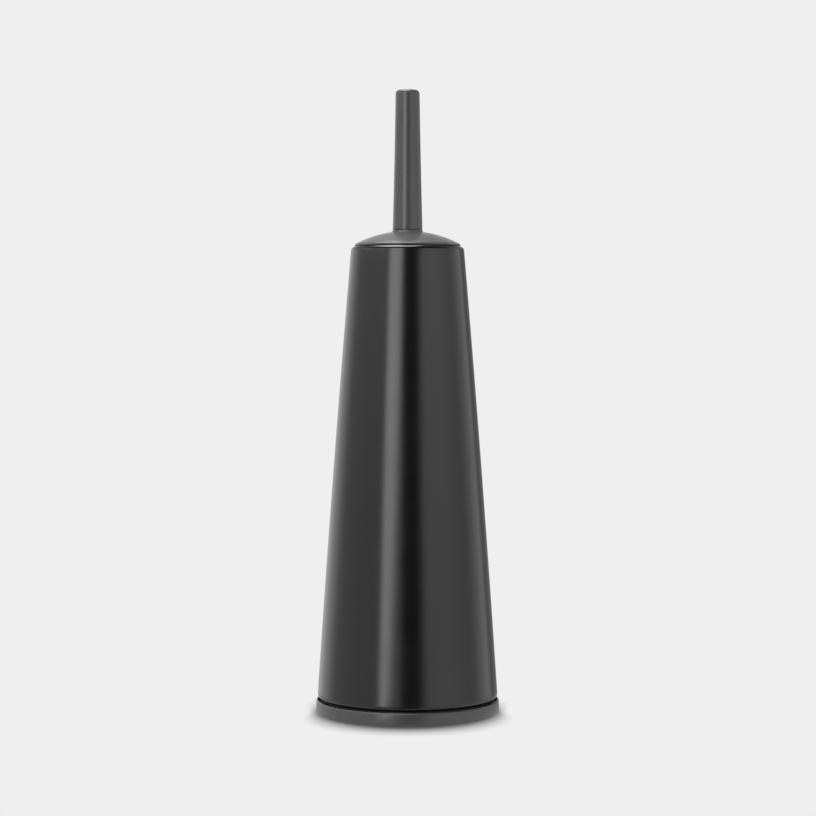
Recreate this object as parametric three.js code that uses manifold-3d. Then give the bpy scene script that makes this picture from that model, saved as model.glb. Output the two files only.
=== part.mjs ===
// A free-standing toilet brush holder: a coated steel cone on a moulded base, a lift-out bucket
// that hangs in its mouth, and a lidded brush with a replaceable quarter-turn head.
// Millimetres, +Z up. The origin is on the axis, in the plane that the base rests on.
import * as THREE from 'three';
import Module from 'manifold-3d';
import { mergeVertices } from 'three/addons/utils/BufferGeometryUtils.js';

const wasm = await Module();
wasm.setup();

// Driving dimensions
const totalHeight = 444.3;
const clearance = 0.3;            // between pieces that touch
const roundSegments = 40;         // around a large turned piece
const smallSegments = 24;         // around a handle, stem or core

const baseRadius = 65.6;
const baseDraft = 0.3;
const baseRimZ = 9.7;             // the rim that shows round the foot of the cone
const grooveRadius = 63.9;        // groove between that rim and the cone's seat
const grooveZ = 5.2;
const footGap = 0.3;              // from the rim up to the cone's foot
const neckRadius = 60.4;          // seat that carries the cone's foot
const snapRadius = 59.5;          // ring that clicks into the cone's foot
const snapPlay = 0.4;             // between that ring and the cone's turned-in edge
const baseWall = 2.0;
const footRimRadius = 54;         // second rim that the base stands on

const sheet = 0.7;                // steel of the cone
const hemRadius = 4.0;            // turned-in foot of the cone
const footRadius = 60.3;          // centre of the foot bend
const shoulderRadius = 2.9;       // turned-in mouth of the cone
const crestRadius = 37.4;         // highest line of the mouth
const crestZ = 332.85;
const coneBarrel = 0.75;          // how far the cone's side bows outwards
const mouthRadius = 34.8;         // clear opening of the mouth
const lipEndZ = 326;

const bucketWall = 1.3;
const bucketTopRadius = 34.4;
const bucketFootRadius = 33.0;
const bucketFootZ = 22;
const bucketRimZ = crestZ - clearance;
const bucketFloor = 1.6;

const lidRadius = 37.65;
const lidDomeRadius = 80;
const lidApexZ = 343.95;
const lidWall = 2.0;
const lidRimZ = crestZ + clearance;
const skirtRadius = 32.7;
const skirtEndZ = 325.6;
const hubRadius = 11;
const hubZ = 332.4;

const handleFootRadius = 10.6;
const handleTopRadius = 8.55;
const handleWaist = 0.16;         // how far the handle's side bows inwards
const handleBore = 6.1;
const bossRadius = 10.9;          // boss of the lid that the handle stands on
const bossTopZ = lidApexZ + 0.4;
const handleFootZ = bossTopZ + clearance;

const stemRadius = 6.0;
const stemNeckRadius = 5.75;      // through the lid
const stemCollarRadius = 9.5;     // clamps the lid from below
const spigotEndZ = 424;
const spigotRib = 3.2;

const coreRadius = 8.6;
const coreTipZ = 50;              // centre of the core's round end
const socketRadius = 10.8;
const socketTopZ = 141;
const socketBore = 5.9;
const plugRadius = 5.5;
const plugEndZ = 123.5;
const lugReach = 8.1;
const lugHalfAngle = 16;          // degrees
const lugLowZ = 127.3;
const lugHighZ = 130.7;
const lugPlay = 0.5;
const headTurn = 60;              // degrees from locked to free

const rowCount = 9;
const firstRowZ = 51.4;
const rowPitch = 8.0;
const rowDepth = 6.2;
const headRadius = 30.6;
const tuftsPerRow = 12;
const holeSegments = 16;
const crownLowZ = 34;
const crownRadius = 22;

const radians = (degrees) => degrees * Math.PI / 180;

// Profiles are lists of (radius, height) points.
const point = (r, z) => new THREE.Vector2(r, z);

function arc(centreR, centreZ, radius, fromDegrees, toDegrees, steps) {
  const points = [];
  for (let i = 0; i <= steps; i++) {
    const angle = radians(fromDegrees + (toDegrees - fromDegrees) * i / steps);
    points.push(point(centreR + radius * Math.cos(angle), centreZ + radius * Math.sin(angle)));
  }
  return points;
}

// Every shape becomes a manifold solid with its faces pointing out.
function toSolid(geometry) {
  const bare = geometry.clone();
  bare.deleteAttribute('normal');
  bare.deleteAttribute('uv');
  const merged = mergeVertices(bare, 1e-4);
  const vertProperties = new Float32Array(merged.attributes.position.array);
  const corners = Array.from(merged.index.array);
  const triVerts = [];
  for (let i = 0; i < corners.length; i += 3) {
    const [a, b, c] = corners.slice(i, i + 3);
    if (a !== b && b !== c && c !== a) triVerts.push(a, b, c);
  }
  if (signedVolume(vertProperties, triVerts) < 0) triVerts.reverse();
  return new wasm.Manifold(new wasm.Mesh({
    numProp: 3, vertProperties, triVerts: new Uint32Array(triVerts) }));
}

function signedVolume(positions, triangles) {
  const corner = (i) => new THREE.Vector3().fromArray(positions, 3 * triangles[i]);
  let sum = 0;
  for (let i = 0; i < triangles.length; i += 3) {
    sum += corner(i).dot(corner(i + 1).cross(corner(i + 2)));
  }
  return sum / 6;
}

function turned(profile, segments = roundSegments) {
  return toSolid(new THREE.LatheGeometry(profile, segments).rotateX(Math.PI / 2));
}

function ring(innerRadius, outerRadius, lowZ, highZ, segments = roundSegments) {
  const corners = [[innerRadius, lowZ], [outerRadius, lowZ], [outerRadius, highZ],
    [innerRadius, highZ], [innerRadius, lowZ]];
  return turned(corners.map(([r, z]) => point(r, z)), segments);
}

function rod(radius, lowZ, highZ, segments = smallSegments) {
  const corners = [[0, lowZ], [radius, lowZ], [radius, highZ], [0, highZ]];
  return turned(corners.map(([r, z]) => point(r, z)), segments);
}

// A straight rib from one radius to another, in the direction given in degrees.
function rib(innerRadius, outerRadius, thickness, lowZ, highZ, degrees) {
  const box = new THREE.BoxGeometry(outerRadius - innerRadius, thickness, highZ - lowZ);
  box.translate((innerRadius + outerRadius) / 2, 0, (lowZ + highZ) / 2);
  return toSolid(box.rotateZ(radians(degrees)));
}

// A sector of a ring, between two angles in degrees.
function sector(innerRadius, outerRadius, fromDegrees, toDegrees, lowZ, highZ) {
  const outline = [...arc(0, 0, outerRadius, fromDegrees, toDegrees, 6),
    ...arc(0, 0, innerRadius, toDegrees, fromDegrees, 6)];
  const options = { depth: highZ - lowZ, bevelEnabled: false };
  const prism = new THREE.ExtrudeGeometry(new THREE.Shape(outline), options);
  return toSolid(prism.translate(0, 0, lowZ));
}

// Outer radius of the cone's side, tangent to its foot bend and its mouth bend.
const footCentreZ = baseRimZ + footGap + hemRadius;
const shoulderCentreZ = crestZ - shoulderRadius;
const coneTilt = Math.atan2(
  footRadius + hemRadius - crestRadius - shoulderRadius, shoulderCentreZ - footCentreZ);

function coneSide(thickness, steps) {
  const outwards = point(Math.cos(coneTilt), Math.sin(coneTilt));
  const low = point(footRadius, footCentreZ).addScaledVector(outwards, hemRadius - thickness);
  const high = point(crestRadius, shoulderCentreZ)
    .addScaledVector(outwards, shoulderRadius - thickness);
  const points = [];
  for (let i = 1; i < steps; i++) {
    const t = i / steps;
    const straight = low.clone().lerp(high, t);
    straight.x += coneBarrel * 4 * t * (1 - t);
    points.push(straight);
  }
  return points;
}

function outerShell() {
  const tilt = THREE.MathUtils.radToDeg(coneTilt);
  const lipRadius = crestRadius - mouthRadius;
  const edge = point(snapRadius + snapPlay, footCentreZ - hemRadius);
  const outside = [
    edge,
    ...arc(footRadius, footCentreZ, hemRadius, -90, tilt, 4),
    ...coneSide(0, 4),
    ...arc(crestRadius, shoulderCentreZ, shoulderRadius, tilt, 90, 4),
    ...arc(crestRadius, crestZ - lipRadius, lipRadius, 90, 180, 3).slice(1),
    point(mouthRadius, lipEndZ),
  ];
  const inside = [
    point(mouthRadius + sheet, lipEndZ),
    ...arc(crestRadius, crestZ - lipRadius, lipRadius - sheet, 180, 90, 3),
    ...arc(crestRadius, shoulderCentreZ, shoulderRadius - sheet, 90, tilt, 3).slice(1),
    ...coneSide(sheet, 4).reverse(),
    ...arc(footRadius, footCentreZ, hemRadius - sheet, tilt, -90, 3),
    point(edge.x, edge.y + sheet),
    edge,
  ];
  return turned([...outside, ...inside]);
}

function base() {
  const edge = 0.9;
  const foot = 1.0;
  const rimRadius = baseRadius - baseDraft;
  const rimInnerRadius = baseRadius - baseWall - 0.2;
  const underZ = grooveZ - baseWall;
  const plateZ = footCentreZ - hemRadius - clearance;
  const beadZ = footCentreZ - hemRadius + sheet + clearance;
  const ringEndZ = beadZ + 4;
  let solid = turned([
    point(0, plateZ - baseWall), point(footRimRadius - baseWall, plateZ - baseWall),
    point(footRimRadius - baseWall, 0), point(footRimRadius, 0), point(footRimRadius, underZ),
    point(rimInnerRadius, underZ), point(rimInnerRadius, 0),
    point(baseRadius - foot, 0), point(baseRadius, foot),
    ...arc(rimRadius - edge, baseRimZ - edge, edge, 0, 90, 3),
    point(rimRadius - edge - 0.1, baseRimZ - 0.1), point(grooveRadius, grooveZ), point(neckRadius, grooveZ),
    point(neckRadius, plateZ), point(snapRadius, plateZ),
    point(snapRadius, beadZ), point(snapRadius + 1.2, beadZ + 0.6),
    point(snapRadius + 1.0, beadZ + 1.4), point(snapRadius - 0.8, ringEndZ),
    point(snapRadius - baseWall, ringEndZ), point(snapRadius - baseWall, plateZ), point(0, plateZ),
  ]);
  const ribCount = 16;
  for (let i = 0; i < ribCount; i++) {
    const degrees = 360 * (i + 0.5) / ribCount;
    solid = solid.add(rib(footRimRadius - 1, baseRadius - 1.6, 1.6, foot, underZ + 0.5, degrees));
  }
  const spokeCount = 8;
  const spokeLowZ = 4;
  for (let i = 0; i < spokeCount; i++) {
    const degrees = 360 * i / spokeCount;
    solid = solid.add(rib(14, footRimRadius - 1, 1.6, spokeLowZ, plateZ - 1.5, degrees));
  }
  return solid.add(ring(13, 15, spokeLowZ, plateZ - 1.5, smallSegments));
}

function innerBucket() {
  const corner = 3.5;
  const seatRadius = crestRadius - mouthRadius + clearance + 0.05;
  const seatZ = crestZ - (crestRadius - mouthRadius);
  const seatDegrees = 180 - THREE.MathUtils.radToDeg(Math.asin((bucketRimZ - seatZ) / seatRadius));
  const rimInnerRadius = bucketTopRadius - bucketWall;
  return turned([
    point(0, bucketFootZ + 1), point(bucketFootRadius - 9, bucketFootZ + 1),
    point(bucketFootRadius - 9.6, bucketFootZ), point(bucketFootRadius - corner, bucketFootZ),
    ...arc(bucketFootRadius - corner, bucketFootZ + corner, corner, -90, 0, 3).slice(1),
    point(bucketTopRadius, seatZ - 2),
    ...arc(crestRadius, seatZ, seatRadius, 180, seatDegrees, 4),
    point(rimInnerRadius + 0.5, bucketRimZ), point(rimInnerRadius, bucketRimZ - 0.6),
    ...arc(bucketFootRadius - corner, bucketFootZ + corner, corner - bucketWall, 0, -90, 3),
    point(bucketFootRadius - 10, bucketFootZ + bucketFloor + 0.4), point(0, bucketFootZ + bucketFloor + 0.4),
  ]);
}

// Height of a sphere about the dome's centre, at a radius from the axis.
const domeCentreZ = lidApexZ - lidDomeRadius;
const domeZ = (sphere, r) => domeCentreZ + Math.sqrt(sphere * sphere - r * r);

function domeLine(sphere, fromRadius, toRadius, steps) {
  const points = [];
  for (let i = 0; i <= steps; i++) {
    const r = fromRadius + (toRadius - fromRadius) * i / steps;
    points.push(point(r, domeZ(sphere, r)));
  }
  return points;
}

function lid() {
  const rim = 1.5;
  const rimCentreR = lidRadius - rim;
  const rimCentreZ = domeZ(lidDomeRadius - rim, rimCentreR);
  const rimDegrees = THREE.MathUtils.radToDeg(Math.atan2(rimCentreZ - domeCentreZ, rimCentreR));
  const under = lidDomeRadius - lidWall;
  const skirtInnerRadius = skirtRadius - 1.5;
  const bore = stemNeckRadius + clearance;
  const bossFillet = 0.6;
  let solid = turned([
    point(bore, hubZ), point(hubRadius, hubZ),
    ...domeLine(under, hubRadius, skirtInnerRadius, 3),
    point(skirtInnerRadius, skirtEndZ), point(skirtRadius - 0.5, skirtEndZ),
    point(skirtRadius, skirtEndZ + 1), point(skirtRadius, lidRimZ), point(lidRadius - 0.4, lidRimZ),
    point(lidRadius, lidRimZ + 0.3),
    ...arc(rimCentreR, rimCentreZ, rim, 0, rimDegrees, 3),
    ...domeLine(lidDomeRadius, rimCentreR - 2, bossRadius + bossFillet, 5),
    point(bossRadius, bossTopZ - 0.3), point(bossRadius, bossTopZ), point(bore, bossTopZ),
    point(bore, hubZ),
  ]);
  const ribCount = 6;
  for (let i = 0; i < ribCount; i++) {
    solid = solid.add(rib(hubRadius - 1, skirtRadius - 1, 1.6, hubZ, lidRimZ + 0.6, 60 * i));
  }
  return solid;
}

function handleRadius(t) {
  return handleFootRadius + (handleTopRadius - handleFootRadius) * t - handleWaist * 4 * t * (1 - t);
}

function handle() {
  const topCorner = 2.6;
  const crownRise = 0.5;
  const shoulderZ = totalHeight - crownRise - topCorner;
  const side = [];
  for (let i = 1; i <= 6; i++) {
    const t = i / 6;
    side.push(point(handleRadius(t), handleFootZ + (shoulderZ - handleFootZ) * t));
  }
  return turned([
    point(0, spigotEndZ + 1), point(handleBore, spigotEndZ + 1), point(handleBore, handleFootZ),
    point(handleFootRadius - 0.4, handleFootZ), point(handleFootRadius, handleFootZ + 0.4),
    ...side,
    ...arc(handleTopRadius - topCorner, shoulderZ, topCorner, 0, 80, 4).slice(1),
    point(handleTopRadius - 4.5, totalHeight - 0.15), point(0, totalHeight),
  ], smallSegments);
}

function stem() {
  const chamfer = 0.8;
  const collarTopZ = hubZ - clearance;
  const neckEndZ = handleFootZ + 2;
  let solid = turned([
    point(0, plugEndZ), point(plugRadius - chamfer, plugEndZ), point(plugRadius, plugEndZ + chamfer),
    point(plugRadius, socketTopZ + clearance), point(stemRadius + 1.6, socketTopZ + clearance),
    point(stemRadius + 1.6, socketTopZ + 3), point(stemRadius, socketTopZ + 6),
    point(stemRadius, collarTopZ - 7), point(stemCollarRadius, collarTopZ - 3),
    point(stemCollarRadius, collarTopZ), point(stemNeckRadius, collarTopZ),
    point(stemNeckRadius, neckEndZ), point(0, neckEndZ),
  ], smallSegments);
  for (const degrees of [0, 180]) {
    solid = solid.add(sector(plugRadius - 1, lugReach, degrees - lugHalfAngle, degrees + lugHalfAngle,
      lugLowZ, lugHighZ));
  }
  for (const degrees of [0, 90]) {
    const arm = new THREE.BoxGeometry(2 * stemNeckRadius - 0.4, spigotRib, spigotEndZ - neckEndZ + 1);
    arm.translate(0, 0, (spigotEndZ + neckEndZ - 1) / 2);
    solid = solid.add(toSolid(arm.rotateZ(radians(degrees))));
  }
  return solid;
}

// The socket takes the stem's two lugs down its slots and locks them after a part turn.
function headCore() {
  const slotReach = lugReach + 0.5;
  const slotHalf = lugHalfAngle + 4;
  let solid = turned([
    ...arc(0, coreTipZ, coreRadius, -90, 0, 4), point(coreRadius, plugEndZ - 1.4),
    point(socketRadius, plugEndZ + 1.4), point(socketRadius, socketTopZ - 1),
    point(socketRadius - 1, socketTopZ), point(0, socketTopZ),
  ], smallSegments);
  solid = solid.subtract(rod(socketBore, plugEndZ - 1, socketTopZ + 1));
  for (const degrees of [0, 180]) {
    const free = degrees - headTurn;
    solid = solid.subtract(sector(socketBore - 1, slotReach, free - slotHalf, degrees + slotHalf,
      lugLowZ - lugPlay, lugHighZ + lugPlay));
    solid = solid.subtract(sector(socketBore - 1, slotReach, free - slotHalf, free + slotHalf,
      lugLowZ, socketTopZ + 1));
  }
  return solid;
}

// One row of tufts: spokes that fan out from a narrow root to the brush's outline.
function rowRadius(index) {
  const fromMiddle = Math.abs(2 * index / (rowCount - 1) - 1);
  return headRadius - 4.2 * Math.pow(fromMiddle, 3);
}

function bristleRow(index) {
  const reach = rowRadius(index);
  const rootRadius = coreRadius + clearance + 3.2;
  const step = 360 / tuftsPerRow;
  const turn = (index % 2) * step / 2;
  const outline = [];
  for (let i = 0; i < tuftsPerRow; i++) {
    const middle = turn + step * i;
    outline.push(...arc(0, 0, reach, middle - 0.32 * step, middle + 0.32 * step, 2));
    outline.push(...arc(0, 0, rootRadius, middle + 0.28 * step, middle + 0.72 * step, 1));
  }
  const shape = new THREE.Shape(outline);
  const hole = arc(0, 0, coreRadius + clearance + 0.3, 360, 360 / holeSegments, holeSegments - 1);
  shape.holes.push(new THREE.Path(hole));
  const lowZ = firstRowZ + rowPitch * index;
  const options = { depth: rowDepth, bevelEnabled: false };
  return toSolid(new THREE.ExtrudeGeometry(shape, options).translate(0, 0, lowZ));
}

// The tufts of the round end, as one cup that hangs under the core.
function bristleCrown() {
  const gap = clearance + 0.1;
  return turned([
    point(0, crownLowZ), point(crownRadius * 0.55, crownLowZ + 1.2),
    point(crownRadius * 0.88, crownLowZ + 4.5), point(crownRadius, crownLowZ + 9),
    point(crownRadius + 0.6, firstRowZ - 1), point(coreRadius + gap, firstRowZ - 1),
    ...arc(0, coreTipZ, coreRadius + gap, 0, -90, 4),
  ], smallSegments);
}

const coat = { color: 0x0b0b0c, roughness: 0.3, metalness: 0 };
const moulding = { color: 0x3a3a3b, roughness: 0.45, metalness: 0 };
const bucketPlastic = { color: 0x1c1c1d, roughness: 0.4, metalness: 0 };
const stemPlastic = { color: 0x2b2b2c, roughness: 0.45, metalness: 0 };
const bristle = { color: 0x202021, roughness: 0.55, metalness: 0 };

function mesh(name, solid, look) {
  const { vertProperties, triVerts, numProp } = solid.getMesh();
  const geometry = new THREE.BufferGeometry();
  const positions = new Float32Array(vertProperties.length / numProp * 3);
  for (let i = 0; i < positions.length; i++) {
    positions[i] = vertProperties[Math.floor(i / 3) * numProp + i % 3];
  }
  geometry.setAttribute('position', new THREE.BufferAttribute(positions, 3));
  geometry.setIndex(new THREE.BufferAttribute(new Uint32Array(triVerts), 1));
  geometry.computeVertexNormals();
  const piece = new THREE.Mesh(geometry, new THREE.MeshStandardMaterial(look));
  piece.name = name;
  return piece;
}

const holder = new THREE.Group();
holder.add(mesh('outer_shell', outerShell(), coat));
holder.add(mesh('base', base(), moulding));

const bucket = new THREE.Group();
bucket.add(mesh('inner_bucket', innerBucket(), bucketPlastic));

const brush = new THREE.Group();
brush.add(mesh('handle', handle(), moulding));
brush.add(mesh('lid', lid(), moulding));
brush.add(mesh('stem', stem(), stemPlastic));

const head = new THREE.Group();
head.add(mesh('head_core', headCore(), stemPlastic));
head.add(mesh('bristle_crown', bristleCrown(), bristle));
for (let i = 0; i < rowCount; i++) {
  head.add(mesh(`bristle_row_${i + 1}`, bristleRow(i), bristle));
}
brush.add(head);

const brushHolder = new THREE.Group();
brushHolder.add(holder, bucket, brush);
export default brushHolder;
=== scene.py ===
import math
import random

import bmesh
import bpy
import numpy as np
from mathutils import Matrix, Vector


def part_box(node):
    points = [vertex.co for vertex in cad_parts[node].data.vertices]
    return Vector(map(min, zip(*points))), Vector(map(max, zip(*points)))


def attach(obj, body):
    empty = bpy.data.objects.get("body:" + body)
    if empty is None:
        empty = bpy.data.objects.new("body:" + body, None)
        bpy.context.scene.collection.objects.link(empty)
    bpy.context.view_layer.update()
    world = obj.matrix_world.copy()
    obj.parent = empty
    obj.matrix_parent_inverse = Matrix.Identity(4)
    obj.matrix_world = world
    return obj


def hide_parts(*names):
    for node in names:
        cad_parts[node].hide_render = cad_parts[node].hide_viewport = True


# Looks of a free-standing toilet brush holder: a coated steel cone on a moulded base, a lift-out
# bucket, and a lidded brush with a head of nylon tufts. Everything is in metres, in the CAD frame.
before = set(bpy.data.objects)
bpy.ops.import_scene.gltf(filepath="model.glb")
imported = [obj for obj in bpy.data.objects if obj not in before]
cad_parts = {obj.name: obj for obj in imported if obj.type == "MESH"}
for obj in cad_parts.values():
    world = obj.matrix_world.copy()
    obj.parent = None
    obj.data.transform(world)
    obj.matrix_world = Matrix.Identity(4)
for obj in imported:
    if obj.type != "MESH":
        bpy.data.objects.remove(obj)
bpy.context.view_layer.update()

MM = 0.001
FINE = 256                  # segments round a large turned piece
MEDIUM = 128                # segments round a handle, stem or core
CLEAN_DISTANCE = 0.002 * MM # points closer than this are merged after a cut

# ---------------------------------------------------------------- sizes from the frame
base_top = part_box("base")[1]
shell_low, shell_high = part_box("outer_shell")
bucket_low, bucket_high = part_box("inner_bucket")
lid_low, lid_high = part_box("lid")
handle_low, handle_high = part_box("handle")
stem_low, stem_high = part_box("stem")
core_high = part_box("head_core")[1]
crown_low, crown_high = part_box("bristle_crown")

# ---------------------------------------------------------------- details of the design
SHEET = 0.7 * MM            # steel of the cone
HEM = 4.0 * MM              # bend at the cone's foot
SHOULDER = 2.9 * MM         # bend at the cone's mouth, outside the crest
LIP = 2.6 * MM              # bend at the cone's mouth, inside the crest
CREST_RADIUS = 37.4 * MM
BARREL = 0.75 * MM          # how far the cone's side bows outwards
FOOT_RADIUS = 60.3 * MM
LIP_DEPTH = 6.85 * MM       # of the mouth's straight inner edge, below the crest

BASE_DRAFT = 0.3 * MM       # how far the rim's side leans in
BASE_WALL = 2.0 * MM
RIM_Z = 9.7 * MM            # top of the base's rim
GROOVE_RADIUS = 63.9 * MM   # outside of the groove between the rim and the cone
GROOVE_Z = 5.2 * MM         # bottom of the groove
NECK_RADIUS = 60.4 * MM
SNAP_RADIUS = 59.5 * MM     # ring that clicks into the cone's foot
SNAP_PLAY = 0.4 * MM
FOOT_RIM_RADIUS = 54 * MM   # second rim that the base stands on

BUCKET_WALL = 1.3 * MM
BUCKET_TOP_RADIUS = 34.4 * MM
BUCKET_FOOT_RADIUS = 33.0 * MM
CLEARANCE = 0.3 * MM

DOME_RADIUS = 80 * MM
DOME_APEX_Z = 343.95 * MM
LID_WALL = 2.0 * MM
SKIRT_RADIUS = 32.7 * MM
HUB_RADIUS = 11.0 * MM
HUB_Z = 332.4 * MM
BOSS_RADIUS = 10.9 * MM

HANDLE_TOP_RADIUS = 8.55 * MM
HANDLE_WAIST = 0.16 * MM
HANDLE_BORE = 6.1 * MM

STEM_RADIUS = 6.0 * MM
STEM_NECK_RADIUS = 5.75 * MM
PLUG_RADIUS = 5.5 * MM
LUG_REACH = 8.1 * MM
LUG_HALF = 16               # degrees
LUG_LOW_Z = 127.3 * MM
LUG_HIGH_Z = 130.7 * MM
SPIGOT_RIB = 3.2 * MM

CORE_RADIUS = 8.6 * MM
CORE_TIP_Z = 50 * MM        # centre of the core's round end
SOCKET_BORE = 5.9 * MM
HEAD_TURN = 60              # degrees
ROW_COUNT = 9
TUFTS_PER_ROW = 12
FAN_CORNER = 5.4            # degrees from the axis of X to the nearest corner of an odd row's CAD fans
FILAMENTS_PER_TUFT = 42
FILAMENT_RADIUS = 0.17 * MM
FILAMENT_TIP = 0.55         # a filament's end, as a share of its radius
HOLE_RADIUS = 1.35 * MM     # the round hole that a tuft sits in
HOLE_DEPTH = 1.2 * MM
WANDER = 0.35 * MM          # how far a filament strays
ROW_SPREAD = 4.3 * MM       # from a tuft's axis to the edge of its end


# ---------------------------------------------------------------- mesh helpers
def arc(centre_r, centre_z, radius, from_degrees, to_degrees, steps):
    """Points (radius, height) on an arc of a profile."""
    angles = np.radians(np.linspace(from_degrees, to_degrees, steps + 1))
    return [(centre_r + radius * math.cos(a), centre_z + radius * math.sin(a)) for a in angles]


def add_object(name, vertices, faces):
    """A new mesh object in the scene."""
    mesh = bpy.data.meshes.new(name)
    mesh.from_pydata([tuple(v) for v in vertices], [], faces)
    mesh.update()
    piece = bpy.data.objects.new(name, mesh)
    bpy.context.scene.collection.objects.link(piece)
    return piece


def shade(piece, sharp_degrees=32):
    """Smooth shading, broken at sharp edges."""
    mesh = piece.data
    mesh.polygons.foreach_set("use_smooth", [True] * len(mesh.polygons))
    mesh.set_sharp_from_angle(angle=math.radians(sharp_degrees))
    return piece


def turned(name, profile, segments=FINE):
    """A solid of revolution about Z. The profile runs from axis to axis, or is closed on itself."""
    points = list(profile)
    if points[0] == points[-1]:
        points.pop()
    area = sum(a[0] * b[1] - b[0] * a[1] for a, b in zip(points, points[1:] + points[:1]))
    if area < 0:
        points.reverse()
    on_axis = points[0][0] < 1e-9
    rings, vertices = [], []
    for r, z in points:
        if r < 1e-9:
            rings.append([len(vertices)] * segments)
            vertices.append((0, 0, z))
            continue
        rings.append(list(range(len(vertices), len(vertices) + segments)))
        for j in range(segments):
            angle = 2 * math.pi * j / segments
            vertices.append((r * math.cos(angle), r * math.sin(angle), z))
    pairs = list(zip(rings, rings[1:]))
    if not on_axis:
        pairs.append((rings[-1], rings[0]))
    faces = []
    for low, high in pairs:
        for j in range(segments):
            k = (j + 1) % segments
            corners = [low[j], low[k], high[k], high[j]]
            face = [c for i, c in enumerate(corners) if c != corners[i - 1]]
            if len(face) > 2:
                faces.append(face)
    return shade(add_object(name, vertices, faces))


def extruded(name, outline, low_z, high_z):
    """A prism over an outline of (x, y) points, anticlockwise from above."""
    count = len(outline)
    vertices = [(x, y, low_z) for x, y in outline] + [(x, y, high_z) for x, y in outline]
    faces = [list(range(count))[::-1], list(range(count, 2 * count))]
    for i in range(count):
        k = (i + 1) % count
        faces.append([i, k, count + k, count + i])
    return add_object(name, vertices, faces)


def rib(name, inner, outer, thickness, low_z, high_z, degrees):
    """A straight upright rib between two radii, in one direction."""
    along = Vector((math.cos(math.radians(degrees)), math.sin(math.radians(degrees))))
    across = Vector((-along.y, along.x)) * thickness / 2
    corners = [along * inner - across, along * outer - across,
               along * outer + across, along * inner + across]
    return extruded(name, [tuple(c) for c in corners], low_z, high_z)


def sector(name, inner, outer, from_degrees, to_degrees, low_z, high_z):
    """A sector of a ring between two angles."""
    outside = arc(0, 0, outer, from_degrees, to_degrees, 16)
    inside = arc(0, 0, inner, to_degrees, from_degrees, 16)
    return extruded(name, outside + inside, low_z, high_z)


def combine(piece, others, operation):
    """Joins the others to a piece, or cuts them out of it, removes them and cleans the mesh."""
    for other in others:
        modifier = piece.modifiers.new("combine", "BOOLEAN")
        modifier.operation = operation
        modifier.solver = "EXACT"
        modifier.object = other
        graph = bpy.context.evaluated_depsgraph_get()
        combined = bpy.data.meshes.new_from_object(piece.evaluated_get(graph))
        piece.modifiers.clear()
        piece.data = combined
        bpy.data.objects.remove(other)
    clean = bmesh.new()
    clean.from_mesh(piece.data)
    bmesh.ops.remove_doubles(clean, verts=clean.verts, dist=CLEAN_DISTANCE)
    bmesh.ops.dissolve_degenerate(clean, dist=CLEAN_DISTANCE, edges=clean.edges)
    bmesh.ops.triangulate(clean, faces=[face for face in clean.faces if len(face.verts) > 4])
    clean.to_mesh(piece.data)
    clean.free()
    return shade(piece)


# ---------------------------------------------------------------- material helpers
class Nodes:
    """Short calls for building a node tree."""

    def __init__(self, tree):
        self.tree = tree
        tree.nodes.clear()

    def add(self, kind, **settings):
        node = self.tree.nodes.new(kind)
        for key, value in settings.items():
            setattr(node, key, value)
        return node

    def put(self, socket, value):
        if hasattr(value, "links"):
            self.tree.links.new(value, socket)
        else:
            socket.default_value = value

    def math(self, operation, *values):
        node = self.add("ShaderNodeMath", operation=operation)
        for socket, value in zip(node.inputs, values):
            self.put(socket, value)
        return node.outputs[0]

    def total(self, *terms):
        answer = terms[0]
        for term in terms[1:]:
            answer = self.math("ADD", answer, term)
        return answer

    def product(self, *factors):
        answer = factors[0]
        for factor in factors[1:]:
            answer = self.math("MULTIPLY", answer, factor)
        return answer

    def rest_of(self, share):
        """1 less a share."""
        return self.math("SUBTRACT", 1.0, share)

    def degrees(self, side, along):
        """The angle of a direction from the axis of along towards the axis of side."""
        return self.math("MULTIPLY", self.math("ARCTAN2", side, along), 180 / math.pi)

    def length(self, first, second):
        squares = self.total(self.product(first, first), self.product(second, second))
        return self.math("SQRT", squares)

    def ramp(self, value, from_low, from_high, to_low, to_high, smooth=True):
        node = self.add("ShaderNodeMapRange", interpolation_type="SMOOTHSTEP" if smooth else "LINEAR")
        for name, v in (("Value", value), ("From Min", from_low), ("From Max", from_high),
                        ("To Min", to_low), ("To Max", to_high)):
            self.put(node.inputs[name], v)
        return node.outputs["Result"]

    def band(self, value, rise_from, rise_to, fall_from, fall_to):
        """0 outside a band and 1 inside it, with soft edges."""
        up = self.ramp(value, rise_from, rise_to, 0.0, 1.0)
        return self.product(up, self.ramp(value, fall_from, fall_to, 1.0, 0.0))

    def noise(self, vector, scale, detail=2.0, rough=0.5):
        node = self.add("ShaderNodeTexNoise")
        for name, v in (("Vector", vector), ("Scale", scale), ("Detail", detail), ("Roughness", rough)):
            self.put(node.inputs[name], v)
        return node.outputs["Fac"]

    def mix_colour(self, factor, first, second):
        node = self.add("ShaderNodeMix", data_type="RGBA")
        self.put(node.inputs["Factor"], factor)
        for socket, value in ((node.inputs[6], first), (node.inputs[7], second)):
            self.put(socket, (*value, 1.0) if isinstance(value, tuple) else value)
        return node.outputs[2]

    def mix_shader(self, factor, first, second):
        node = self.add("ShaderNodeMixShader")
        for socket, value in zip(node.inputs, (factor, first, second)):
            self.put(socket, value)
        return node.outputs[0]

    def bump(self, height, distance, strength, under=None):
        node = self.add("ShaderNodeBump")
        node.inputs["Strength"].default_value = strength
        node.inputs["Distance"].default_value = distance
        self.put(node.inputs["Height"], height)
        if under is not None:
            self.put(node.inputs["Normal"], under)
        return node.outputs["Normal"]


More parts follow.
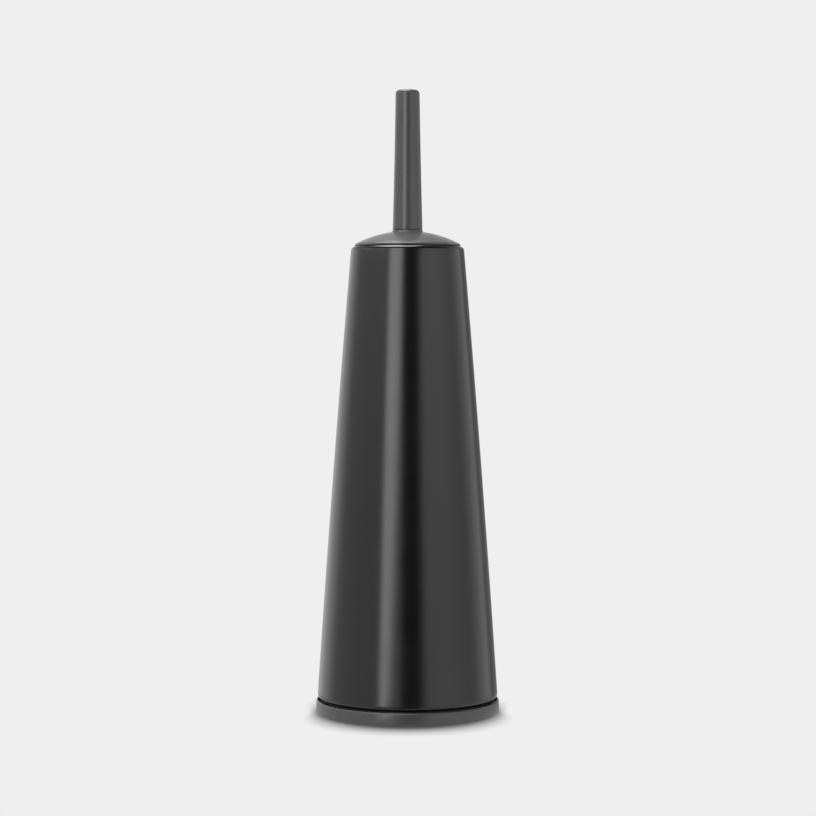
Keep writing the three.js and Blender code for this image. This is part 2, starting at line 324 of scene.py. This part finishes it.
def surface(name, dark, light, roughness, grain_mm, grain_depth_mm, wave_mm, wave_depth_mm,
            ior=1.5, blotch_mm=30.0):
    """A moulded or coated surface: colour and roughness that drift slowly, a fine grain and a long
    wave."""
    material = bpy.data.materials.new(name)
    material.use_nodes = True
    n = Nodes(material.node_tree)
    place = n.add("ShaderNodeTexCoord").outputs["Object"]
    blotch = n.noise(place, 1 / (blotch_mm * MM), 3.0)
    grain = n.noise(place, 1 / (grain_mm * MM), 3.0, 0.6)
    wave = n.noise(place, 1 / (wave_mm * MM), 1.0)
    colour = n.mix_colour(n.ramp(blotch, 0.3, 0.7, 0.0, 1.0), dark, light)
    low, high = roughness
    speck = 0.015               # how far the grain changes the roughness
    rough = n.total(n.ramp(blotch, 0.3, 0.7, low, high), n.ramp(grain, 0.3, 0.7, -speck, speck))
    shape = n.bump(wave, wave_depth_mm * MM, 1.0)
    shape = n.bump(grain, grain_depth_mm * MM, 1.0, shape)
    shader = n.add("ShaderNodeBsdfPrincipled")
    n.put(shader.inputs["Base Color"], colour)
    n.put(shader.inputs["Roughness"], rough)
    n.put(shader.inputs["Normal"], shape)
    shader.inputs["IOR"].default_value = ior
    out = n.add("ShaderNodeOutputMaterial")
    n.put(out.inputs["Surface"], shader.outputs[0])
    return material


def grey(value):
    return (value, value, value)


def coated_steel():
    return surface("coated_steel", grey(0.0042), grey(0.0052), (0.165, 0.195), grain_mm=0.5,
                   grain_depth_mm=0.0016, wave_mm=5.0, wave_depth_mm=0.003)


def handle_plastic():
    return surface("handle_plastic", grey(0.067), grey(0.070), (0.275, 0.295), grain_mm=0.22,
                   grain_depth_mm=0.0015, wave_mm=9.0, wave_depth_mm=0.0006)


# A lighter copy of the handle's plastic for the lid: the extra lightness is painted light, standing in
# for light from above on the dome.
def lid_plastic_painted_light():
    return surface("lid_plastic_painted_light", grey(0.086), grey(0.089), (0.275, 0.295), grain_mm=0.22,
                   grain_depth_mm=0.0015, wave_mm=9.0, wave_depth_mm=0.0006, ior=1.42)


def base_plastic():
    return surface("base_plastic", grey(0.048), grey(0.052), (0.26, 0.31), grain_mm=0.25,
                   grain_depth_mm=0.007, wave_mm=8.0, wave_depth_mm=0.003)


def bucket_plastic():
    return surface("bucket_plastic", grey(0.012), grey(0.015), (0.26, 0.31), grain_mm=0.3,
                   grain_depth_mm=0.003, wave_mm=10.0, wave_depth_mm=0.02)


def stem_plastic():
    return surface("stem_plastic", grey(0.030), grey(0.034), (0.34, 0.40), grain_mm=0.25,
                   grain_depth_mm=0.005, wave_mm=7.0, wave_depth_mm=0.008)


def bristle_nylon():
    return surface("bristle_nylon", grey(0.018), grey(0.034), (0.30, 0.42), grain_mm=0.4,
                   grain_depth_mm=0.004, wave_mm=3.0, wave_depth_mm=0.006, ior=1.53, blotch_mm=1.6)


def finish_piece(piece, material, body, slot, *nodes):
    """Gives a piece its material and the body it rides on, and hides the nodes it replaces; the slot it
    is given is not used.
    """
    piece.data.materials.clear()
    piece.data.materials.append(material)
    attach(piece, body)
    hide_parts(*nodes)


# ---------------------------------------------------------------- the cone
foot_centre_z = shell_low.z + HEM
shoulder_centre_z = shell_high.z - SHOULDER
cone_tilt = math.atan2(FOOT_RADIUS + HEM - CREST_RADIUS - SHOULDER, shoulder_centre_z - foot_centre_z)


def cone_side(inset, steps):
    """The bowed side of the cone between its two bends, this far inside the outer face."""
    cos, sin = math.cos(cone_tilt), math.sin(cone_tilt)
    low = (FOOT_RADIUS + (HEM - inset) * cos, foot_centre_z + (HEM - inset) * sin)
    high = (CREST_RADIUS + (SHOULDER - inset) * cos, shoulder_centre_z + (SHOULDER - inset) * sin)
    points = []
    for i in range(1, steps):
        t = i / steps
        bow = BARREL * 4 * t * (1 - t)
        points.append((low[0] + (high[0] - low[0]) * t + bow, low[1] + (high[1] - low[1]) * t))
    return points


def outer_shell(material):
    """The sheet steel cone, with its foot and mouth turned in."""
    tilt = math.degrees(cone_tilt)
    lip_r, lip_z = CREST_RADIUS, shell_high.z - LIP
    mouth = CREST_RADIUS - LIP
    inner_edge = SNAP_RADIUS + SNAP_PLAY
    outside = [(inner_edge, shell_low.z), *arc(FOOT_RADIUS, foot_centre_z, HEM, -90, tilt, 16),
               *cone_side(0, 40), *arc(CREST_RADIUS, shoulder_centre_z, SHOULDER, tilt, 90, 16),
               *arc(lip_r, lip_z, LIP, 90, 180, 12)[1:], (mouth, shell_high.z - LIP_DEPTH)]
    inside = [(mouth + SHEET, shell_high.z - LIP_DEPTH), *arc(lip_r, lip_z, LIP - SHEET, 180, 90, 12),
              *arc(CREST_RADIUS, shoulder_centre_z, SHOULDER - SHEET, 90, tilt, 12)[1:],
              *cone_side(SHEET, 40)[::-1], *arc(FOOT_RADIUS, foot_centre_z, HEM - SHEET, tilt, -90, 12),
              (inner_edge, shell_low.z + SHEET)]
    piece = turned("cone_shell", outside + inside)
    finish_piece(piece, material, "holder", "coated_steel", "outer_shell")


def base(material):
    """The moulded base: rim, groove, neck, top plate, snap ring, and ribs underneath."""
    edge, foot = 0.9 * MM, 1.0 * MM
    rim_radius = base_top.x - BASE_DRAFT
    rim_inner = base_top.x - BASE_WALL - 0.2 * MM
    under_z = GROOVE_Z - BASE_WALL
    plate_z = shell_low.z - CLEARANCE
    bead_z = shell_low.z + SHEET + CLEARANCE
    ring_end_z = bead_z + 4 * MM
    ring_inner = SNAP_RADIUS - BASE_WALL
    foot_inner = FOOT_RIM_RADIUS - BASE_WALL
    soft = 0.3 * MM
    piece = turned("base_moulding", [
        (0, plate_z - BASE_WALL), (foot_inner, plate_z - BASE_WALL), (foot_inner, soft),
        (foot_inner + soft, 0), (FOOT_RIM_RADIUS - soft, 0), (FOOT_RIM_RADIUS, soft),
        (FOOT_RIM_RADIUS, under_z), (rim_inner, under_z), (rim_inner, soft), (rim_inner + soft, 0),
        *arc(base_top.x - foot, foot, foot, -90, 0, 8),
        *arc(rim_radius - edge, RIM_Z - edge, edge, 3, 90, 10),
        (rim_radius - edge - 0.1 * MM, RIM_Z - 0.1 * MM), (GROOVE_RADIUS, GROOVE_Z + soft),
        (GROOVE_RADIUS - soft, GROOVE_Z), (NECK_RADIUS, GROOVE_Z), (NECK_RADIUS, plate_z),
        (SNAP_RADIUS, plate_z), (SNAP_RADIUS, bead_z), (SNAP_RADIUS + 1.2 * MM, bead_z + 0.6 * MM),
        (SNAP_RADIUS + 1.0 * MM, bead_z + 1.4 * MM), (SNAP_RADIUS - 0.8 * MM, ring_end_z),
        (ring_inner, ring_end_z), *arc(ring_inner - 1 * MM, plate_z + 1 * MM, 1 * MM, 0, -90, 6),
        (0, plate_z)])
    rib_width, rib_low, rib_high = 1.6 * MM, 4 * MM, plate_z - 1.5 * MM
    collar_inner, collar_outer = 13 * MM, 15 * MM
    ribs = [rib("rib", FOOT_RIM_RADIUS - 1 * MM, base_top.x - rib_width, rib_width, foot,
                under_z + 0.5 * MM, 360 * (i + 0.5) / 16) for i in range(16)]
    ribs += [rib("rib", 14 * MM, FOOT_RIM_RADIUS - 1 * MM, rib_width, rib_low, rib_high, 45 * i)
             for i in range(8)]
    combine(piece, ribs, "UNION")
    collar = turned("collar", [(collar_inner, rib_low), (collar_outer, rib_low),
                               (collar_outer, rib_high), (collar_inner, rib_high),
                               (collar_inner, rib_low)], MEDIUM)
    combine(piece, [collar], "UNION")
    finish_piece(piece, material, "holder", "base_plastic", "base")


# ---------------------------------------------------------------- the bucket
def inner_bucket(material):
    """The lift-out bucket, with a rim that seats on the cone's mouth."""
    corner = 3.5 * MM
    foot_z = bucket_low.z
    seat_radius = LIP + CLEARANCE + 0.05 * MM
    seat_z = shell_high.z - LIP
    seat_degrees = 180 - math.degrees(math.asin((bucket_high.z - seat_z) / seat_radius))
    inner = BUCKET_TOP_RADIUS - BUCKET_WALL
    floor_z = foot_z + 2.0 * MM
    piece = turned("bucket_moulding", [
        (0, foot_z + 1 * MM), (BUCKET_FOOT_RADIUS - 9 * MM, foot_z + 1 * MM),
        (BUCKET_FOOT_RADIUS - 9.6 * MM, foot_z), (BUCKET_FOOT_RADIUS - corner, foot_z),
        *arc(BUCKET_FOOT_RADIUS - corner, foot_z + corner, corner, -90, 0, 10)[1:],
        (BUCKET_TOP_RADIUS, seat_z - 2 * MM),
        *arc(CREST_RADIUS, seat_z, seat_radius, 180, seat_degrees, 10),
        (inner + 0.5 * MM, bucket_high.z), (inner, bucket_high.z - 0.6 * MM),
        *arc(BUCKET_FOOT_RADIUS - corner, foot_z + corner, corner - BUCKET_WALL, 0, -90, 10),
        (BUCKET_FOOT_RADIUS - 10 * MM, floor_z), (0, floor_z)])
    finish_piece(piece, material, "bucket", "bucket_plastic", "inner_bucket")


# ---------------------------------------------------------------- lid, handle and stem
dome_centre_z = DOME_APEX_Z - DOME_RADIUS


def dome_line(sphere, from_radius, to_radius, steps):
    """Points (radius, height) on a sphere about the dome's centre."""
    radii = np.linspace(from_radius, to_radius, steps + 1)
    return [(r, dome_centre_z + math.sqrt(sphere ** 2 - r ** 2)) for r in radii]


def lid(material):
    """The domed lid with its boss, skirt, hub and ribs."""
    rim = 1.5 * MM
    rim_r = lid_high.x - rim
    rim_z = dome_centre_z + math.sqrt((DOME_RADIUS - rim) ** 2 - rim_r ** 2)
    rim_degrees = math.degrees(math.atan2(rim_z - dome_centre_z, rim_r))
    rim_low = shell_high.z + CLEARANCE
    skirt_inner = SKIRT_RADIUS - 1.5 * MM
    bore = STEM_NECK_RADIUS + CLEARANCE
    fillet = 0.6 * MM
    fillet_r = BOSS_RADIUS + fillet
    fillet_z = dome_centre_z + math.sqrt((DOME_RADIUS + fillet) ** 2 - fillet_r ** 2)
    fillet_degrees = math.degrees(math.atan2(dome_centre_z - fillet_z, -fillet_r)) % 360
    piece = turned("lid_moulding", [
        (bore, HUB_Z), (HUB_RADIUS - 0.4 * MM, HUB_Z), (HUB_RADIUS, HUB_Z + 0.4 * MM),
        *dome_line(DOME_RADIUS - LID_WALL, HUB_RADIUS, skirt_inner, 16),
        (skirt_inner, lid_low.z + 0.4 * MM), (skirt_inner + 0.4 * MM, lid_low.z),
        (SKIRT_RADIUS - 0.5 * MM, lid_low.z), (SKIRT_RADIUS, lid_low.z + 1 * MM),
        (SKIRT_RADIUS, rim_low), (lid_high.x - 0.4 * MM, rim_low),
        *arc(lid_high.x - 0.4 * MM, rim_low + 0.4 * MM, 0.4 * MM, -80, 0, 4),
        *arc(rim_r, rim_z, rim, 0, rim_degrees, 10),
        *dome_line(DOME_RADIUS, rim_r - 0.5 * MM, fillet_r + 0.3 * MM, 40),
        *arc(fillet_r, fillet_z, fillet, fillet_degrees, 180, 8)[1:],
        (BOSS_RADIUS, lid_high.z - 0.25 * MM), (BOSS_RADIUS - 0.25 * MM, lid_high.z),
        (bore, lid_high.z), (bore, HUB_Z)])
    ribs = [rib("rib", HUB_RADIUS - 1 * MM, SKIRT_RADIUS - 1 * MM, 1.6 * MM, HUB_Z,
                rim_low + 0.6 * MM, 60 * i) for i in range(6)]
    combine(piece, ribs, "UNION")
    finish_piece(piece, material, "brush", "handle_plastic", "lid")


def handle(material):
    """The tapered handle, bored from below, with a rounded top."""
    corner = 2.6 * MM
    foot_edge = 0.2 * MM
    crown_rise = 0.5 * MM
    foot_radius = handle_high.x
    shoulder_z = handle_high.z - crown_rise - corner
    foot_z = handle_low.z
    side = []
    for i in range(1, 33):
        t = i / 32
        r = foot_radius + (HANDLE_TOP_RADIUS - foot_radius) * t - HANDLE_WAIST * 4 * t * (1 - t)
        side.append((r, foot_z + (shoulder_z - foot_z) * t))
    flat = HANDLE_TOP_RADIUS - corner
    cap = [(flat * math.cos(a), handle_high.z - crown_rise * (1 - math.sin(a)))
           for a in np.radians(np.linspace(15, 90, 12))]
    piece = turned("handle_grip", [
        (0, stem_high.z + 1 * MM), (HANDLE_BORE, stem_high.z + 1 * MM), (HANDLE_BORE, foot_z),
        *arc(foot_radius - foot_edge, foot_z + foot_edge, foot_edge, -90, 0, 5), *side,
        *arc(HANDLE_TOP_RADIUS - corner, shoulder_z, corner, 0, 84, 14)[1:], *cap[:-1],
        (0, handle_high.z)], MEDIUM)
    finish_piece(piece, material, "brush", "handle_plastic", "handle")


def stem(material):
    """The stem: plug with two lugs, step, rod, collar, neck and a cross-ribbed spigot."""
    chamfer = 0.8 * MM
    socket_z = core_high.z
    collar_z = HUB_Z - CLEARANCE
    neck_end = handle_low.z + 2 * MM
    collar = stem_high.x
    step = STEM_RADIUS + 1.6 * MM
    piece = turned("stem_rod", [
        (0, stem_low.z), (PLUG_RADIUS - chamfer, stem_low.z), (PLUG_RADIUS, stem_low.z + chamfer),
        (PLUG_RADIUS, socket_z + CLEARANCE), (step - 0.4 * MM, socket_z + CLEARANCE),
        (step, socket_z + 0.7 * MM), (step, socket_z + 3 * MM), (STEM_RADIUS, socket_z + 6 * MM),
        (STEM_RADIUS, collar_z - 7 * MM), (collar - 0.5 * MM, collar_z - 3.4 * MM),
        (collar, collar_z - 2.8 * MM), (collar, collar_z - 0.4 * MM), (collar - 0.4 * MM, collar_z),
        (STEM_NECK_RADIUS, collar_z), (STEM_NECK_RADIUS, neck_end), (0, neck_end)], MEDIUM)
    lugs = [sector("lug", PLUG_RADIUS - 1 * MM, LUG_REACH, a - LUG_HALF, a + LUG_HALF,
                   LUG_LOW_Z, LUG_HIGH_Z) for a in (0, 180)]
    arms = [rib("arm", -STEM_NECK_RADIUS + 0.2 * MM, STEM_NECK_RADIUS - 0.2 * MM, SPIGOT_RIB,
                neck_end - 1 * MM, stem_high.z, a) for a in (0, 90)]
    combine(piece, lugs + arms, "UNION")
    finish_piece(piece, material, "brush", "stem_plastic", "stem")


# ---------------------------------------------------------------- the head
def tuft_places(row):
    """Angles of a row's tufts in degrees; every other row is turned by half a step."""
    step = 360 / TUFTS_PER_ROW
    return [step * (i + (row % 2) / 2) for i in range(TUFTS_PER_ROW)]


def head_core(material):
    """The head's core, with a socket whose two slots and pockets take the stem's lugs."""
    flare_z = stem_low.z
    socket = core_high.x
    piece = turned("core_moulding", [
        *arc(0, CORE_TIP_Z, CORE_RADIUS, -90, 0, 16), (CORE_RADIUS, flare_z - 1.4 * MM),
        (socket, flare_z + 1.4 * MM), (socket, core_high.z - 1 * MM),
        (socket - 0.3 * MM, core_high.z - 0.3 * MM), (socket - 1 * MM, core_high.z),
        (0, core_high.z)], MEDIUM)
    bore = turned("bore", [(0, flare_z - 1 * MM), (SOCKET_BORE, flare_z - 1 * MM),
                           (SOCKET_BORE, core_high.z + 1 * MM), (0, core_high.z + 1 * MM)], MEDIUM)
    cuts = [bore]
    reach, half, play = LUG_REACH + 0.5 * MM, LUG_HALF + 4, 0.5 * MM
    for a in (0, 180):
        free = a - HEAD_TURN
        cuts.append(sector("pocket", SOCKET_BORE - 1 * MM, reach, free - half, a + half,
                           LUG_LOW_Z - play, LUG_HIGH_Z + play))
        cuts.append(sector("slot", SOCKET_BORE - 1 * MM, reach, free - half, free + half,
                           LUG_LOW_Z, core_high.z + 1 * MM))
    combine(piece, cuts, "DIFFERENCE")
    finish_piece(piece, material, "brush_head", "stem_plastic", "head_core")


def filaments(name, strands, sides=4, rings=6):
    """Thin round filaments along quadratic curves. A strand is (start, middle, end) as 3-vectors."""
    t = np.linspace(0, 1, rings)[:, None]
    vertices, faces = [], []
    for start, middle, end in strands:
        line = (1 - t) ** 2 * start + 2 * t * (1 - t) * middle + t ** 2 * end
        along = np.gradient(line, axis=0)
        along /= np.linalg.norm(along, axis=1)[:, None]
        side = np.cross(along, (0.0, 0.0, 1.0))
        short = np.linalg.norm(side, axis=1) < 1e-3
        side[short] = (1.0, 0.0, 0.0)
        side /= np.linalg.norm(side, axis=1)[:, None]
        up = np.cross(along, side)
        first = len(vertices)
        for i in range(rings):
            radius = FILAMENT_RADIUS * (1.0 if i < rings - 1 else FILAMENT_TIP)
            for j in range(sides):
                a = 2 * math.pi * j / sides
                vertices.append(line[i] + radius * (math.cos(a) * side[i] + math.sin(a) * up[i]))
        for i in range(rings - 1):
            for j in range(sides):
                k = (j + 1) % sides
                low, high = first + i * sides, first + (i + 1) * sides
                faces.append([low + j, low + k, high + k, high + j])
        faces.append([first + j for j in range(sides)][::-1])
        faces.append([first + (rings - 1) * sides + j for j in range(sides)])
    piece = add_object(name, vertices, faces)
    piece.data.polygons.foreach_set("use_smooth", [True] * len(piece.data.polygons))
    return piece


def tuft(draw, root, out, reach, spread):
    """Strands that leave a round hole at root along out and fan to a blunt end."""
    side = np.cross(out, (0.0, 0.0, 1.0))
    if np.linalg.norm(side) < 1e-3:
        side = np.array((1.0, 0.0, 0.0))
    side /= np.linalg.norm(side)
    up = np.cross(side, out)
    strands = []
    for i in range(FILAMENTS_PER_TUFT):
        share = math.sqrt((i + 0.5) / FILAMENTS_PER_TUFT)
        turn = i * math.pi * (3 - math.sqrt(5))
        offset = share * (math.cos(turn) * side + math.sin(turn) * up)
        start = root + HOLE_RADIUS * offset - HOLE_DEPTH * out
        length = reach * draw.uniform(0.965, 1.0)
        wander = np.array([draw.gauss(0, 1) for _ in range(3)]) * WANDER
        end = root + length * out + spread * offset + wander
        middle = root + 0.5 * length * out + 0.36 * spread * offset + wander
        strands.append((start, middle, end))
    return strands


def bristle_rows(material):
    """Nine rows of tufts round the core. An odd row has no tuft on the axis of X, so its reach is
    worked out from the corner of a fan beside that axis."""
    draw = random.Random(11)
    for row in range(ROW_COUNT):
        node = f"bristle_row_{row + 1}"
        low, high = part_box(node)
        reach = high.x if row % 2 == 0 else high.x / math.cos(math.radians(FAN_CORNER))
        strands = []
        for degrees in tuft_places(row):
            a = math.radians(degrees)
            out = np.array((math.cos(a), math.sin(a), 0.0))
            root = CORE_RADIUS * out + np.array((0, 0, (low.z + high.z) / 2))
            strands += tuft(draw, root, out, reach - CORE_RADIUS, ROW_SPREAD)
        piece = filaments(f"tufts_row_{row + 1}", strands)
        finish_piece(piece, material, "brush_head", "bristle", node)


def bristle_crown(material):
    """Tufts set round the core's end, fanning from straight down to nearly level."""
    draw = random.Random(29)
    strands = []
    for polar, count in ((0, 1), (34, 6), (66, 10)):
        for i in range(count):
            a, p = 2 * math.pi * (i + 0.5 * (count == 10)) / count, math.radians(polar)
            out = np.array((math.cos(a) * math.sin(p), math.sin(a) * math.sin(p), -math.cos(p)))
            root = np.array((0, 0, CORE_TIP_Z)) + CORE_RADIUS * out
            down = (CORE_TIP_Z - CORE_RADIUS - crown_low.z) * 0.98
            reach = down + (crown_high.x - CORE_RADIUS - down) * math.sin(p) ** 1.5
            strands += tuft(draw, root, out, reach, 2.6 * MM + 1.4 * MM * math.sin(p))
    piece = filaments("tufts_crown", strands)
    finish_piece(piece, material, "brush_head", "bristle", "bristle_crown")


# ---------------------------------------------------------------- floor, light and camera
# Directions are azimuths in degrees, 0 towards the front (-Y) and growing towards the right (+X), and
# heights in degrees above the horizon.
BACKDROP = 0.863            # grey of the seamless floor and wall
FLOOR_HALF = 6.0            # half the floor's width
LIT_RADIUS = 0.15           # the floor lights the object out to here
SHADOW_REACH = 6.9 * MM     # width of the soft shadow beside the foot
SHADOW_SLOWNESS = 0.182     # how fast the shadow fades to the front and back, against the sides
SHADOW_FADE = 1.6           # power of the fade
SHADOW_SIDE = 0.66          # darkest share of the shadow beside the foot
SHADOW_FRONT = 0.24         # added to that at the front and back


def floor():
    """A pale seamless floor with a painted soft shadow about the foot, longest towards the front and
    back.
    Only the part near the foot lights the object, less so straight ahead, at the right of the back
    and at the far left; further off, light comes from the studio's own directions."""
    corners = [(-FLOOR_HALF, -FLOOR_HALF, 0), (FLOOR_HALF, -FLOOR_HALF, 0),
               (FLOOR_HALF, FLOOR_HALF, 0), (-FLOOR_HALF, FLOOR_HALF, 0)]
    piece = add_object("floor", corners, [[0, 1, 2, 3]])
    material = bpy.data.materials.new("floor")
    material.use_nodes = True
    n = Nodes(material.node_tree)
    split = n.add("ShaderNodeSeparateXYZ")
    n.put(split.inputs[0], n.add("ShaderNodeNewGeometry").outputs["Position"])
    x, y, _ = split.outputs

    # the painted shadow that is seen
    foot_radius = base_top.x
    radius = n.math("MAXIMUM", n.length(x, y), foot_radius)
    forward = n.math("DIVIDE", y, radius)
    stretch = n.length(x, n.math("DIVIDE", y, SHADOW_SLOWNESS))
    beyond = n.math("DIVIDE", n.product(radius, n.math("SUBTRACT", radius, foot_radius)), stretch)
    under = n.rest_of(n.ramp(beyond, 0.0, SHADOW_REACH, 0.0, 1.0, smooth=False))
    depth = n.total(SHADOW_SIDE, n.product(n.product(forward, forward), SHADOW_FRONT))
    shade_share = n.product(n.math("POWER", under, SHADOW_FADE), depth)
    seen = n.add("ShaderNodeEmission")
    n.put(seen.inputs["Color"], n.mix_colour(shade_share, grey(BACKDROP), grey(0.0)))
    seen.inputs["Strength"].default_value = 1.0

    # the light that the object gets from the floor
    azimuth = n.degrees(x, n.math("MULTIPLY", y, -1.0))
    ahead = n.product(n.band(azimuth, -15.0, -5.0, 6.0, 16.0),
                      n.ramp(radius, 70 * MM, 78 * MM, 0.0, 0.75))
    strength = n.product(n.rest_of(ahead), n.ramp(azimuth, 15.0, 35.0, 0.82, 1.02),
                         n.ramp(azimuth, 55.0, 105.0, 1.0, 0.5),
                         n.ramp(azimuth, -105.0, -45.0, 0.86, 1.0))
    lit, through = n.add("ShaderNodeEmission"), n.add("ShaderNodeBsdfTransparent")
    n.put(lit.inputs["Strength"], strength)
    lit.inputs["Color"].default_value = (1, 1, 1, 1)
    far = n.ramp(radius, LIT_RADIUS * 0.7, LIT_RADIUS, 0.0, 1.0)
    spread = n.mix_shader(far, lit.outputs[0], through.outputs[0])

    by_camera = n.add("ShaderNodeLightPath").outputs["Is Camera Ray"]
    shown = n.mix_shader(by_camera, spread, seen.outputs[0])
    n.put(n.add("ShaderNodeOutputMaterial").inputs["Surface"], shown)
    piece.data.materials.append(material)


def studio():
    """A soft studio painted on the sky by direction: pale front lights up to some 20 degrees high,
    with a tall strip light at their left and a dark gap straight ahead; pale back walls, brighter or
    darker by side; a low glow at the left; and a panel overhead."""
    world = bpy.data.worlds.new("studio")
    bpy.context.scene.world = world
    world.use_nodes = True
    n = Nodes(world.node_tree)
    split = n.add("ShaderNodeSeparateXYZ")
    n.put(split.inputs[0], n.add("ShaderNodeTexCoord").outputs["Generated"])
    x, y, z = split.outputs
    azimuth = n.degrees(x, n.math("MULTIPLY", y, -1.0))
    height = n.degrees(z, n.length(x, y))

    # the front half
    front = n.ramp(n.math("ABSOLUTE", azimuth), 80.0, 125.0, 1.0, 0.0)
    top_edge = n.total(height, n.ramp(azimuth, -35.0, 0.0, -5.0, 0.0))
    lights = n.product(n.ramp(height, -34.0, -10.0, 0.0, 1.0),
                       n.ramp(top_edge, 16.0, 27.0, 1.0, 0.0))
    brighter = n.ramp(height, 0.0, 12.0, 1.0, 1.32, smooth=False)
    strip_edge = n.math("SUBTRACT", azimuth, height)
    strip = n.product(n.ramp(azimuth, -40.5, -31.5, 0.0, 1.0),
                      n.ramp(strip_edge, -29.0, -14.0, 1.0, 0.0),
                      n.ramp(height, -18.0, -5.0, 0.1, 3.4))
    right = n.product(n.band(azimuth, 12.0, 32.0, 52.0, 100.0), 0.42)
    gap_edge = n.math("SUBTRACT", azimuth, n.math("MAXIMUM", n.math("SUBTRACT", height, 9.0), 0.0))
    gap = n.product(n.ramp(azimuth, -14.0, -3.0, 0.0, 1.0),
                    n.ramp(gap_edge, 11.0, 28.0, 1.0, 0.0), 0.93)
    light = n.product(n.total(n.product(n.total(0.74, right), brighter), strip), n.rest_of(gap))
    front_light = n.total(n.product(light, lights), n.product(n.rest_of(lights), 0.06))

    # the back half
    left_back = n.product(n.band(azimuth, -168.0, -148.0, -126.0, -106.0),
                          n.ramp(height, 8.0, 20.0, 0.34, -0.15))
    right_back = n.product(n.band(azimuth, 125.0, 141.0, 162.0, 180.0),
                           n.ramp(height, 8.0, 20.0, -0.44, -0.2))
    right_side = n.product(n.band(azimuth, 84.0, 106.0, 124.0, 140.0),
                           n.ramp(height, 12.0, 22.0, 0.36, 0.0))
    back_light = n.total(n.ramp(height, 12.0, 50.0, 0.74, 0.42), left_back, right_back, right_side)
    wall = n.total(n.product(front_light, front), n.product(back_light, n.rest_of(front)))

    # the glow at the left and the panel, which lies level one metre up
    glow = n.product(n.band(azimuth, -122.0, -98.0, -52.0, -38.0),
                     n.band(height, 11.0, 17.0, 25.0, 32.0), 1.5)
    above = n.math("MAXIMUM", z, 0.05)
    u, v = n.math("DIVIDE", x, above), n.math("DIVIDE", y, above)
    panel = n.product(n.band(u, -0.62, -0.38, 0.0, 0.24), n.band(v, -0.42, -0.25, 0.48, 0.86),
                      n.ramp(z, 0.3, 0.5, 0.0, 1.0), 9.3)

    lit, plain = n.add("ShaderNodeBackground"), n.add("ShaderNodeBackground")
    n.put(lit.inputs["Strength"], n.total(wall, glow, panel))
    lit.inputs["Color"].default_value = (1, 1, 1, 1)
    plain.inputs["Color"].default_value = (*grey(BACKDROP), 1)
    by_camera = n.add("ShaderNodeLightPath").outputs["Is Camera Ray"]
    shown = n.mix_shader(by_camera, lit.outputs[0], plain.outputs[0])
    n.put(n.add("ShaderNodeOutputWorld").inputs["Surface"], shown)


def camera():
    """A long lens a little below the lid, tipped slightly down."""
    distance, eye_height, sideways = 1.6076, 0.27685, 0.0003
    pitch_down = math.radians(2.098)
    data = bpy.data.cameras.new("camera")
    data.lens = 99.45
    data.sensor_width = 36.0
    piece = bpy.data.objects.new("camera", data)
    bpy.context.scene.collection.objects.link(piece)
    piece.location = (sideways, -distance, eye_height)
    piece.rotation_euler = (math.pi / 2 - pitch_down, 0, 0)
    bpy.context.scene.camera = piece


# ---------------------------------------------------------------- the whole scene
camera()
studio()
floor()
stem_look, nylon = stem_plastic(), bristle_nylon()
outer_shell(coated_steel())
base(base_plastic())
inner_bucket(bucket_plastic())
lid(lid_plastic_painted_light())
handle(handle_plastic())
stem(stem_look)
head_core(stem_look)
bristle_rows(nylon)
bristle_crown(nylon)
bpy.context.scene.view_settings.view_transform = "Standard"
